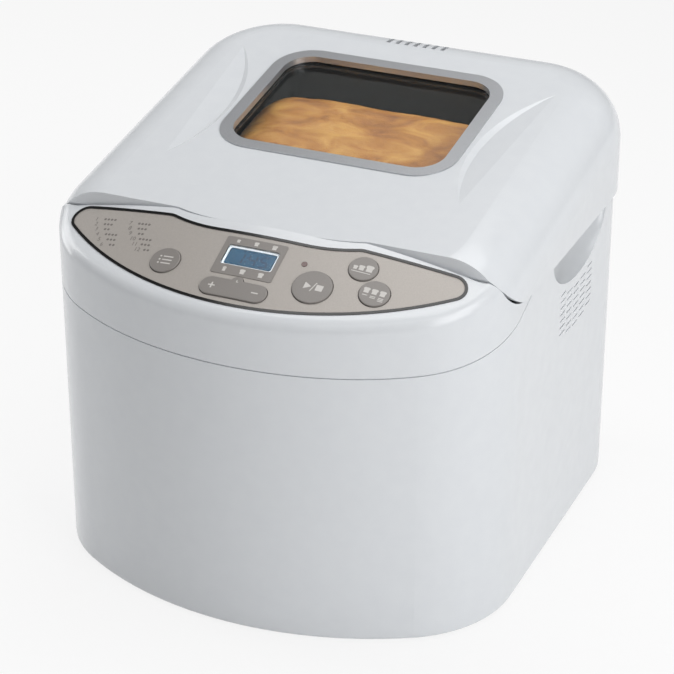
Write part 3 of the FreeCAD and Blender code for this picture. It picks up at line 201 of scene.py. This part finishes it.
def clear_sheet(name, tint, roughness, ior):
    """A clear flat sheet: it mirrors like glass and lets lamp light straight through."""
    material, tree, shader = new_finish(name)
    shader.inputs["Base Color"].default_value = srgb(tint)
    shader.inputs["Roughness"].default_value = roughness
    shader.inputs["IOR"].default_value = ior
    shader.inputs["Transmission Weight"].default_value = 1.0
    ray = add(tree, "ShaderNodeLightPath")
    through = add(tree, "ShaderNodeBsdfTransparent", {"Color": srgb(tint)})
    choice = add(tree, "ShaderNodeMixShader", {0: ray.outputs["Is Shadow Ray"],
                                               1: shader.outputs["BSDF"],
                                               2: through.outputs["BSDF"]})
    tree.links.new(choice.outputs["Shader"], tree.nodes["Material Output"].inputs["Surface"])
    return material


# The index is well below acrylic's 1.49, so that the white room isn't mirrored over the digits.
lens_acrylic = clear_sheet("clear_acrylic", tint="#F4F8FA", roughness=0.03, ior=1.06)
dress(lens_acrylic, "display_lens")

# The rocker turns about a line up the panel's slope and the keys go straight in, so the joints
# give the panel's directions. Marks are drawn in millimetres across and up from the rocker's pivot.
joints = {joint["name"]: joint for joint in frame["joints"]}
slope = Vector(joints["time_rock"]["axis"])
inward = Vector(joints["menu_press"]["axis"])
panel_mark = Vector(joints["time_rock"]["pos_m"])
INK_RISE = 0.05 * MM
RAY_START = 30 * MM


def panel_span(name):
    """Lowest and highest x and up-slope v of a node's solid, in millimetres from the rocker's pivot."""
    points = [vertex.co - panel_mark for vertex in nodes[name].data.vertices]
    xs = [p.x / MM for p in points]
    vs = [p.dot(slope) / MM for p in points]
    return min(xs), max(xs), min(vs), max(vs)


def centre_of(name):
    """Middle of a node's solid, across and up the panel."""
    low_x, high_x, low_v, high_v = panel_span(name)
    return (low_x + high_x) / 2, (low_v + high_v) / 2


def bar(bm, x, y, width, height, turn=0.0):
    """A flat rectangle of a printed mark."""
    spot = Matrix.Translation((x, y, 0)) @ Matrix.Rotation(math.radians(turn), 4, "Z")
    size = Matrix.Diagonal((width / 2, height / 2, 1, 1))
    bmesh.ops.create_grid(bm, x_segments=1, y_segments=1, size=1, matrix=spot @ size)


def dot(bm, x, y, radius, segments=12):
    """A flat disc of a printed mark."""
    bmesh.ops.create_circle(bm, cap_ends=True, segments=segments, radius=radius,
                            matrix=Matrix.Translation((x, y, 0)))


def print_on(name, bm, node, body, finish):
    """Lay a flat drawing on a node's face along the panel's normal and give it the ink's thickness."""
    mesh = nodes[node].data
    tree = BVHTree.FromPolygons([v.co for v in mesh.vertices], [p.vertices for p in mesh.polygons])
    for vertex in bm.verts:
        above = (panel_mark + Vector((vertex.co.x * MM, 0, 0)) + slope * vertex.co.y * MM
                 - inward * RAY_START)
        hit = tree.ray_cast(above, inward)[0]
        if hit is None:
            raise RuntimeError(f"{name} reaches past the edge of {node}")
        vertex.co = hit - inward * INK_RISE
    bmesh.ops.recalc_face_normals(bm, faces=bm.faces)
    for face in bm.faces:
        if face.normal.dot(inward) > 0:
            face.normal_flip()
    bmesh.ops.solidify(bm, geom=bm.faces, thickness=INK_RISE)
    ink = bpy.data.meshes.new(name)
    bm.to_mesh(ink)
    bm.free()
    ink.materials.append(finish)
    piece = bpy.data.objects.new(name, ink)
    bpy.context.scene.collection.objects.link(piece)
    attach(piece, body)


SEGMENTS = {"1": "bc", "4": "fgbc", "5": "afgcd"}
DIGIT_WIDTH, DIGIT_HEIGHT, STROKE = 4.4, 7.2, 1.1
CORNER_SHARE = 0.6
LEAN = 0.12


def segment_digit(bm, figure, x, y):
    """Seven-bar figure that leans to the right."""
    half_w, half_h = DIGIT_WIDTH / 2, DIGIT_HEIGHT / 2
    flat_length, upright_length = DIGIT_WIDTH - STROKE, half_h - STROKE * CORNER_SHARE
    places = {"a": (0, half_h, 0), "d": (0, -half_h, 0), "g": (0, 0, 0),
              "b": (half_w, half_h / 2, 1), "f": (-half_w, half_h / 2, 1),
              "c": (half_w, -half_h / 2, 1), "e": (-half_w, -half_h / 2, 1)}
    for letter in SEGMENTS[figure]:
        px, py, upright = places[letter]
        size = (STROKE, upright_length) if upright else (flat_length, STROKE)
        bar(bm, x + px + py * LEAN, y + py, *size)


DIGIT_PLACES, DIGIT_V = (("1", -6.4), ("4", 1.4), ("5", 8.4)), -0.7
COLON_X, COLON_V = -2.0, -0.8
COLON_LIFTS, COLON_SIDE = (-1.6, 1.2), 0.9
DASHES, DASH_PITCH = 6, 2.6
DASH_X, DASH_V = -5.0, 4.5
DASH_LENGTH, DASH_STROKE = 1.5, 0.5
segment_ink = moulded("liquid_crystal_ink", pale="#1A2C44", deep="#14243A", roughness=0.4,
                      ripple_mm=1.0, ripple_depth=0.05)
screen_x, screen_v = centre_of("display_lens")
digits = bmesh.new()
for figure, place in DIGIT_PLACES:
    segment_digit(digits, figure, screen_x + place, screen_v + DIGIT_V)
for lift in COLON_LIFTS:
    bar(digits, screen_x + COLON_X + lift * LEAN, screen_v + COLON_V + lift, COLON_SIDE, COLON_SIDE)
for step in range(DASHES):
    bar(digits, screen_x + DASH_X + DASH_PITCH * step, screen_v + DASH_V, DASH_LENGTH, DASH_STROKE)
print_on("screen_digits", digits, "lcd_module", "machine", segment_ink)


# Pad-printed marks: pale ink on the keys and the display surround, warm grey
# ink on the panel. They are plain figures and pictures, matt and thin, each
# placed from the middle or the edge of the piece that carries it.

pale_ink = moulded("pale_pad_print_ink", pale="#D9D6D2", deep="#CFCBC7", roughness=0.5,
                   ripple_mm=0.5, ripple_depth=0.1)
grey_ink = moulded("grey_pad_print_ink", pale="#7E7874", deep="#75706C", roughness=0.5,
                   ripple_mm=0.5, ripple_depth=0.1)

LIST_PITCH = 2.4
LINE_X, LINE_LENGTH, LINE_STROKE = 1.2, 6.0, 0.75
BULLET_X, BULLET_RADIUS = -3.4, 0.6
x, v = centre_of("menu_button")
menu_mark = bmesh.new()
for row in (1, 0, -1):
    bar(menu_mark, x + LINE_X, v + LIST_PITCH * row, LINE_LENGTH, LINE_STROKE)
    dot(menu_mark, x + BULLET_X, v + LIST_PITCH * row, BULLET_RADIUS)
print_on("menu_mark", menu_mark, "menu_button", "menu_key", pale_ink)

ARROW_X, ARROW_RADIUS = -3.2, 2.7
SLASH_X, SLASH_STROKE, SLASH_LENGTH, SLASH_TURN = 0.7, 0.55, 6.6, -18
SQUARE_X, SQUARE_SIDE = 4.2, 4.0
x, v = centre_of("start_button")
start_mark = bmesh.new()
arrow_place = Matrix.Translation((x + ARROW_X, v, 0)) @ Matrix.Rotation(-math.pi / 2, 4, "Z")
bmesh.ops.create_circle(start_mark, cap_ends=True, segments=3, radius=ARROW_RADIUS, matrix=arrow_place)
bar(start_mark, x + SLASH_X, v, SLASH_STROKE, SLASH_LENGTH, SLASH_TURN)
bar(start_mark, x + SQUARE_X, v, SQUARE_SIDE, SQUARE_SIDE)
print_on("start_mark", start_mark, "start_button", "start_key", pale_ink)


def loaf_mark(bm, x, y, width, height):
    """A small loaf: a square crumb under a wider round top."""
    bar(bm, x, y - height * 0.2, width * 0.78, height * 0.6)
    for side in (-1, 1):
        dot(bm, x + side * width * 0.25, y + height * 0.22, width * 0.25, segments=14)
    bar(bm, x, y + height * 0.25, width * 0.5, height * 0.44)


SIZE_PLACES, SIZE_FOOT = ((-4.4, 2.6), (-0.9, 3.5), (3.6, 4.5)), -1.6
SHELF_X, SHELF_V, SHELF_LENGTH, SHELF_STROKE = -0.4, -2.9, 11.0, 0.5
x, v = centre_of("loaf_size_button")
size_mark = bmesh.new()
for place, size in SIZE_PLACES:
    loaf_mark(size_mark, x + place, v + SIZE_FOOT + size / 2, size, size)
bar(size_mark, x + SHELF_X, v + SHELF_V, SHELF_LENGTH, SHELF_STROKE)
print_on("loaf_size_mark", size_mark, "loaf_size_button", "loaf_size_key", pale_ink)

CRUST_PITCH, CRUST_V, CRUST_SIZE = 4.6, 1.0, 3.7
STRIPE_V, STRIPE_PITCH, STRIPE_LENGTH, STRIPE_STROKE = -2.4, 0.95, 3.0, 0.5
x, v = centre_of("crust_button")
crust_mark = bmesh.new()
for column in range(3):
    loaf_x = x + CRUST_PITCH * (column - 1)
    loaf_mark(crust_mark, loaf_x, v + CRUST_V, CRUST_SIZE, CRUST_SIZE)
    for stripe in range(column + 1):
        bar(crust_mark, loaf_x, v + STRIPE_V - STRIPE_PITCH * stripe, STRIPE_LENGTH, STRIPE_STROKE)
print_on("crust_mark", crust_mark, "crust_button", "crust_key", pale_ink)


def hoop(bm, x, y, radius, width, segments=32):
    """A flat ring: a disc whose rim is inset and whose middle is taken out."""
    made = bmesh.ops.create_circle(bm, cap_ends=True, segments=segments, radius=radius,
                                   matrix=Matrix.Translation((x, y, 0)))
    middle = list({face for vertex in made["verts"] for face in vertex.link_faces})
    bmesh.ops.inset_region(bm, faces=middle, thickness=width, use_even_offset=True)
    bmesh.ops.delete(bm, geom=middle, context="FACES_ONLY")


SIGN_INSET, SIGN_LENGTH, SIGN_STROKE = 7.0, 4.0, 0.8
CLOCK_DROP, CLOCK_RADIUS, CLOCK_STROKE = 3.9, 2.5, 0.5
HAND_STROKE = 0.45
UP_HAND_V, UP_HAND_LENGTH = 0.6, 1.5
SIDE_HAND_X, SIDE_HAND_LENGTH = 0.5, 1.2
low_x, high_x, _, high_v = panel_span("time_rocker")
clock_v = high_v - CLOCK_DROP
rocker_mark = bmesh.new()
for turn in (0, 90):
    bar(rocker_mark, low_x + SIGN_INSET, 0, SIGN_LENGTH, SIGN_STROKE, turn)
bar(rocker_mark, high_x - SIGN_INSET, 0, SIGN_LENGTH, SIGN_STROKE)
hoop(rocker_mark, 0, clock_v, CLOCK_RADIUS, CLOCK_STROKE)
bar(rocker_mark, 0, clock_v + UP_HAND_V, HAND_STROKE, UP_HAND_LENGTH)
bar(rocker_mark, SIDE_HAND_X, clock_v, SIDE_HAND_LENGTH, HAND_STROKE)
print_on("rocker_mark", rocker_mark, "time_rocker", "time_key", pale_ink)

SURROUND_PITCH = 11.0
UPPER_SIZES = (2.2, 2.8, 3.2)
LOWER_WIDTHS, LOWER_HEIGHT = (2.3, 3.32, 3.32), 3.4
frame_v0, frame_v1 = panel_span("display_frame")[2:]
lens_v0, lens_v1 = panel_span("display_lens")[2:]
upper, lower = (lens_v1 + frame_v1) / 2, (lens_v0 + frame_v0) / 2
surround_mark = bmesh.new()
for column, size in enumerate(UPPER_SIZES):
    loaf_mark(surround_mark, screen_x + SURROUND_PITCH * (column - 1), upper, size, size)
for column, width in enumerate(LOWER_WIDTHS):
    loaf_mark(surround_mark, screen_x + SURROUND_PITCH * (column - 1), lower, width, LOWER_HEIGHT)
print_on("display_marks", surround_mark, "display_frame", "machine", pale_ink)

PROGRAM_ROWS, ROW_PITCH = 6, 3.7
FIGURE_HEIGHT, FONT_SHARE = 2.9, 1.35
COLUMN_STARTS = ((14.0, 8.8), (37.0, 9.8))
ROW_INDENT, ROW_CURVE = 1.2, 0.25
BEAD_X, BEAD_PITCH, BEAD_RADIUS = 6.6, 2.2, 0.8
plate_left, _, _, plate_upper = panel_span("panel_plate")
program_list = bmesh.new()
for column, (inset, drop) in enumerate(COLUMN_STARTS):
    for row in range(PROGRAM_ROWS):
        # Each row starts further in, because the panel's end curves inwards.
        row_x = plate_left + inset + ROW_INDENT * row + ROW_CURVE * row ** 2
        row_v = plate_upper - drop - ROW_PITCH * row
        number = PROGRAM_ROWS * column + row + 1
        words = bpy.data.curves.new("figure", "FONT")
        words.body = str(number)
        words.size = FIGURE_HEIGHT * FONT_SHARE
        letters = bpy.data.objects.new("figure", words)
        bpy.context.scene.collection.objects.link(letters)
        bpy.context.view_layer.update()
        drawn = letters.evaluated_get(bpy.context.evaluated_depsgraph_get())
        flat = bpy.data.meshes.new_from_object(drawn)
        flat.transform(Matrix.Translation((row_x, row_v, 0)))
        program_list.from_mesh(flat)
        bpy.data.objects.remove(letters)
        bpy.data.meshes.remove(flat)
        for bead in range(2 + (number * 5) % 3):
            dot(program_list, row_x + BEAD_X + BEAD_PITCH * bead, row_v + FIGURE_HEIGHT / 2, BEAD_RADIUS)
print_on("program_numbers", program_list, "panel_plate", "machine", grey_ink)


# Window: a satin anodised aluminium frame let into the lid, with a sheet of
# heat-proof glass behind it. The glass's index is lower than the real one, so
# that the loaf shows through without the white room mirrored over it.

satin_aluminium = flaked("satin_anodised_aluminium", pale="#C6C8CB", deep="#BCBEC2", flake_mm=0.6,
                         roughness=0.34, metallic=0.75)
dress(satin_aluminium, "window_frame")
window_sheet = clear_sheet("heat_proof_glass", tint="#F1F4F3", roughness=0.02, ior=1.2)
dress(window_sheet, "window_glass")


# Oven and drive: the lid's tray, pan and paddle wear a dark coat, the chamber
# and frame are rolled zinc-coated sheet, pins and shafts bright drawn steel,
# couplings cast alloy, bearings sintered bronze and circuit boards green.

dark_coat = flaked("dark_coated_steel", pale="#47484A", deep="#3C3D3F", flake_mm=0.8,
                   roughness=0.4, metallic=0.3)
dress(dark_coat, "lid_liner", "bread_pan", "kneading_paddle")
zinc_sheet = flaked("rolled_zinc_sheet", pale="#B4B5B6", deep="#9FA0A2", flake_mm=3.0,
                    roughness=0.4, metallic=0.85)
dress(zinc_sheet, "oven_chamber", "chassis_frame", "motor_mount", "motor_body", "temperature_probe",
      "heater_element")
bright_steel = flaked("bright_drawn_steel", pale="#D5D6D8", deep="#C6C8CA", flake_mm=0.6,
                      roughness=0.22, metallic=1.0)
dress(bright_steel, "base_screws", "liner_screws", "hinge_pins", "rocker_pin", "drive_shaft",
      "motor_shaft", "paddle_shaft", "pan_handle")
cast_alloy = flaked("cast_aluminium", pale="#B9BABC", deep="#A6A8AA", flake_mm=0.9,
                    roughness=0.5, metallic=0.9)
dress(cast_alloy, "pan_foot", "pan_seat", "paddle_coupling", "drive_coupler")
oil_bronze = flaked("sintered_bronze", pale="#B08D57", deep="#977747", flake_mm=0.7,
                    roughness=0.45, metallic=0.9)
dress(oil_bronze, "pan_bush", "drive_bearing")
board_mask = moulded("green_solder_mask", pale="#1F5A36", deep="#194B2C", roughness=0.35,
                     ripple_mm=2.0, ripple_depth=0.1)
dress(board_mask, "display_board", "power_board")


# Loaf: a white tin loaf in the pan, above the paddle, risen to just under the
# window. Its crust tears along its length as it bakes and browns in streaks
# above the pan's rim, while the sides stay pale.

LOAF_HALF_X, LOAF_HALF_Y = 71 * MM, 53.5 * MM
LOAF_CUTS = 56
CORNER_DRAW = 0.3
PIECE_CLEARANCE = 3 * MM
# The loaf's top keeps this gap under the glass, which rises to the back by this much per length.
GLASS_GAP, GLASS_RISE = 10 * MM, 0.1727
END_FALL, BACK_FALL, FRONT_FALL = 8 * MM, 16 * MM, 5 * MM
TOP_START = 0.2
# Ridges and crumbs are counted per metre; their noise has a fall-off, a step in scale and octaves.
RIDGE_HEIGHT, RIDGE_MIDDLE = 2.4 * MM, 0.6
RIDGES_ALONG, RIDGES_ACROSS, RIDGE_SEED, RIDGE_NOISE = 9, 42, 0.3, (0.9, 2.1, 4)
CRUMB_HEIGHT = 0.5 * MM
CRUMBS_ALONG, CRUMBS_ACROSS, CRUMB_SEED, CRUMB_NOISE = 90, 140, 2.0, (1.0, 2.0, 3)
BULGE, BULGE_RISE = 0.1, 12 * MM
glass_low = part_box("window_glass")[0]
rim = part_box("bread_pan")[1][2] + PIECE_CLEARANCE
loaf_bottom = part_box("kneading_paddle")[1][2] + PIECE_CLEARANCE
pan_middle = joints["handle_swing"]["pos_m"][1]
loaf_bm = bmesh.new()
bmesh.ops.create_cube(loaf_bm, size=2)
bmesh.ops.subdivide_edges(loaf_bm, edges=loaf_bm.edges, cuts=LOAF_CUTS, use_grid_fill=True)
for vertex in loaf_bm.verts:
    u, w, lift = vertex.co
    edge = max(abs(u), abs(w)) ** 6
    x = LOAF_HALF_X * u * (1 - CORNER_DRAW * edge * (1 - math.sqrt(1 - 0.5 * w * w)))
    y = LOAF_HALF_Y * w * (1 - CORNER_DRAW * edge * (1 - math.sqrt(1 - 0.5 * u * u)))
    crown = glass_low[2] + GLASS_RISE * (pan_middle + y - glass_low[1]) - GLASS_GAP
    crown -= END_FALL * abs(u) ** 8 + (BACK_FALL if w > 0 else FRONT_FALL) * abs(w) ** 6
    spot = Vector((x, pan_middle + y, loaf_bottom + (crown - loaf_bottom) * (lift + 1) / 2))
    if lift > TOP_START:
        tear = noise.fractal(Vector((x * RIDGES_ALONG, y * RIDGES_ACROSS, RIDGE_SEED)), *RIDGE_NOISE)
        fine = noise.fractal(Vector((x * CRUMBS_ALONG, y * CRUMBS_ACROSS, CRUMB_SEED)), *CRUMB_NOISE)
        relief = RIDGE_HEIGHT * (tear - RIDGE_MIDDLE) + CRUMB_HEIGHT * fine
        spot.z += relief * (lift - TOP_START) / (1 - TOP_START)
    over_rim = min(1.0, max(0.0, (spot.z - rim) / BULGE_RISE))
    spot.x *= 1 + BULGE * over_rim
    vertex.co = spot
bmesh.ops.smooth_vert(loaf_bm, verts=loaf_bm.verts, factor=0.4, use_axis_x=True, use_axis_y=True,
                      use_axis_z=True)
bmesh.ops.recalc_face_normals(loaf_bm, faces=loaf_bm.faces)
for face in loaf_bm.faces:
    face.smooth = True
loaf_mesh = bpy.data.meshes.new("loaf")
loaf_bm.to_mesh(loaf_mesh)
loaf_bm.free()

STREAK_WIDTH, STREAK_DRAW = 14 * MM, (0.55, 1.0, 0.7)
BROWNING_HEIGHT = 30 * MM
CRUMB_MM, CRUMB_DETAIL, DIMPLE_DEPTH = 1.1, 4.0, 0.6 * MM
crust, tree, shader = new_finish("baked_crust")
coords = add(tree, "ShaderNodeTexCoord")
stretched = add(tree, "ShaderNodeMapping", {"Vector": coords.outputs["Object"], "Scale": STREAK_DRAW})
streak = add(tree, "ShaderNodeTexNoise", {"Vector": stretched.outputs["Vector"],
                                          "Scale": 1 / STREAK_WIDTH, "Detail": 8.0,
                                          "Roughness": 0.62, "Distortion": 0.6})
brown = add(tree, "ShaderNodeValToRGB", {"Fac": streak.outputs["Fac"]})
brown.color_ramp.elements[0].position = 0.3
brown.color_ramp.elements[0].color = srgb("#764214")
brown.color_ramp.elements[1].position = 0.68
brown.color_ramp.elements[1].color = srgb("#B98843")
middle = brown.color_ramp.elements.new(0.5)
middle.color = srgb("#9E6729")
height = add(tree, "ShaderNodeSeparateXYZ", {"Vector": coords.outputs["Object"]})
baked = add(tree, "ShaderNodeMapRange", {"Value": height.outputs["Z"], "From Min": rim,
                                         "From Max": rim + BROWNING_HEIGHT})
# A colour Mix node takes its factor at input 0 and its two colours at 6 and 7, and gives output 2.
crust_tone = add(tree, "ShaderNodeMix", {0: baked.outputs["Result"], 6: srgb("#C39A5C"),
                                         7: brown.outputs["Color"]}, data_type="RGBA")
crumb = speckle(tree, CRUMB_MM, CRUMB_DETAIL)
dimple = add(tree, "ShaderNodeBump", {"Height": crumb.outputs["Fac"], "Strength": 0.45,
                                      "Distance": DIMPLE_DEPTH})
tree.links.new(crust_tone.outputs[2], shader.inputs["Base Color"])
tree.links.new(dimple.outputs["Normal"], shader.inputs["Normal"])
shader.inputs["Roughness"].default_value = 0.55
loaf_mesh.materials.append(crust)
loaf = bpy.data.objects.new("loaf", loaf_mesh)
bpy.context.scene.collection.objects.link(loaf)
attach(loaf, "pan")


# Studio: a pale floor and a white surround with one large soft lamp above,
# one to the right, a narrow one that lights the left edge and a strip above
# the front that shines along the fascia.

FLOOR_HALF = 4
FLOOR_GLOW_SHARE = 0.82
SURROUND_LIGHT = 0.2


def any_ray(tree, *kinds):
    """One for rays of any of these kinds and nought for the rest."""
    ray = add(tree, "ShaderNodeLightPath")
    seen = ray.outputs[kinds[0]]
    for kind in kinds[1:]:
        larger = add(tree, "ShaderNodeMath", {0: seen, 1: ray.outputs[kind]}, operation="MAXIMUM")
        seen = larger.outputs[0]
    return seen


floor_bm = bmesh.new()
bmesh.ops.create_grid(floor_bm, x_segments=1, y_segments=1, size=FLOOR_HALF)
floor_mesh = bpy.data.meshes.new("floor")
floor_bm.to_mesh(floor_mesh)
floor_bm.free()
floor_paint, tree, shader = new_finish("white_floor_paint")
shader.inputs["Base Color"].default_value = srgb("#F2F2F2")
shader.inputs["Roughness"].default_value = 0.9
seen = any_ray(tree, "Is Camera Ray", "Is Glossy Ray", "Is Transmission Ray")
share = add(tree, "ShaderNodeMath", {0: seen, 1: FLOOR_GLOW_SHARE}, operation="MULTIPLY")
white = add(tree, "ShaderNodeEmission", {"Color": srgb("#FFFFFF"), "Strength": 1.0})
mixed = add(tree, "ShaderNodeMixShader", {0: share.outputs[0], 1: shader.outputs["BSDF"],
                                          2: white.outputs["Emission"]})
tree.links.new(mixed.outputs["Shader"], tree.nodes["Material Output"].inputs["Surface"])
floor_mesh.materials.append(floor_paint)
floor = bpy.data.objects.new("floor", floor_mesh)
bpy.context.scene.collection.objects.link(floor)

world = bpy.data.worlds.new("white_studio")
bpy.context.scene.world = world
world.use_nodes = True
tree = world.node_tree
seen = any_ray(tree, "Is Camera Ray", "Is Transmission Ray")
level = add(tree, "ShaderNodeMapRange", {"Value": seen, "To Min": SURROUND_LIGHT, "To Max": 1.0})
surround = tree.nodes["Background"]
surround.inputs["Color"].default_value = srgb("#FFFFFF")
tree.links.new(level.outputs["Result"], surround.inputs["Strength"])

# Each lamp's place, the point it faces, its width and height, all in metres, and its watts.
LAMPS = {
    "top_softbox": ((0.1, 0.35, 1.5), (0, 0.05, 0.2), 1.3, 1.0, 11.0),
    "right_softbox": ((1.35, -0.75, 0.75), (0.1, 0, 0.12), 0.8, 1.2, 12.5),
    "left_rim": ((-1.4, 0.1, 0.5), (-0.1, 0, 0.12), 0.5, 1.2, 7.5),
    "front_strip": ((0.5, -1.0, 1.7), (0, -0.1, 0.2), 1.4, 0.3, 2.0),
}
for name, (spot, aim, width, height, watts) in LAMPS.items():
    light = bpy.data.lights.new(name, "AREA")
    light.shape = "RECTANGLE"
    light.size, light.size_y = width, height
    light.energy = watts
    lamp = bpy.data.objects.new(name, light)
    lamp.location = spot
    lamp.rotation_euler = (Vector(aim) - Vector(spot)).to_track_quat("-Z", "Y").to_euler()
    bpy.context.scene.collection.objects.link(lamp)


# Camera: a long lens in front, above the lid and to the machine's right. Its
# place, aim and focal length were fitted to the photograph.

TARGET = Vector((-0.0001, -0.0022, 0.1132))
DISTANCE, AZIMUTH, ELEVATION = 1.4537, math.radians(24.17), math.radians(27.0)
FOCAL_MM, SENSOR_MM = 128.19, 36.0
lens = bpy.data.cameras.new("view")
lens.lens, lens.sensor_width = FOCAL_MM, SENSOR_MM
lens.clip_start = 0.05
camera = bpy.data.objects.new("view", lens)
camera.location = TARGET + DISTANCE * Vector((math.sin(AZIMUTH) * math.cos(ELEVATION),
                                              -math.cos(AZIMUTH) * math.cos(ELEVATION),
                                              math.sin(ELEVATION)))
camera.rotation_euler = (TARGET - camera.location).to_track_quat("-Z", "Y").to_euler()
bpy.context.scene.collection.objects.link(camera)
bpy.context.scene.camera = camera
bpy.context.scene.view_settings.view_transform = "Standard"
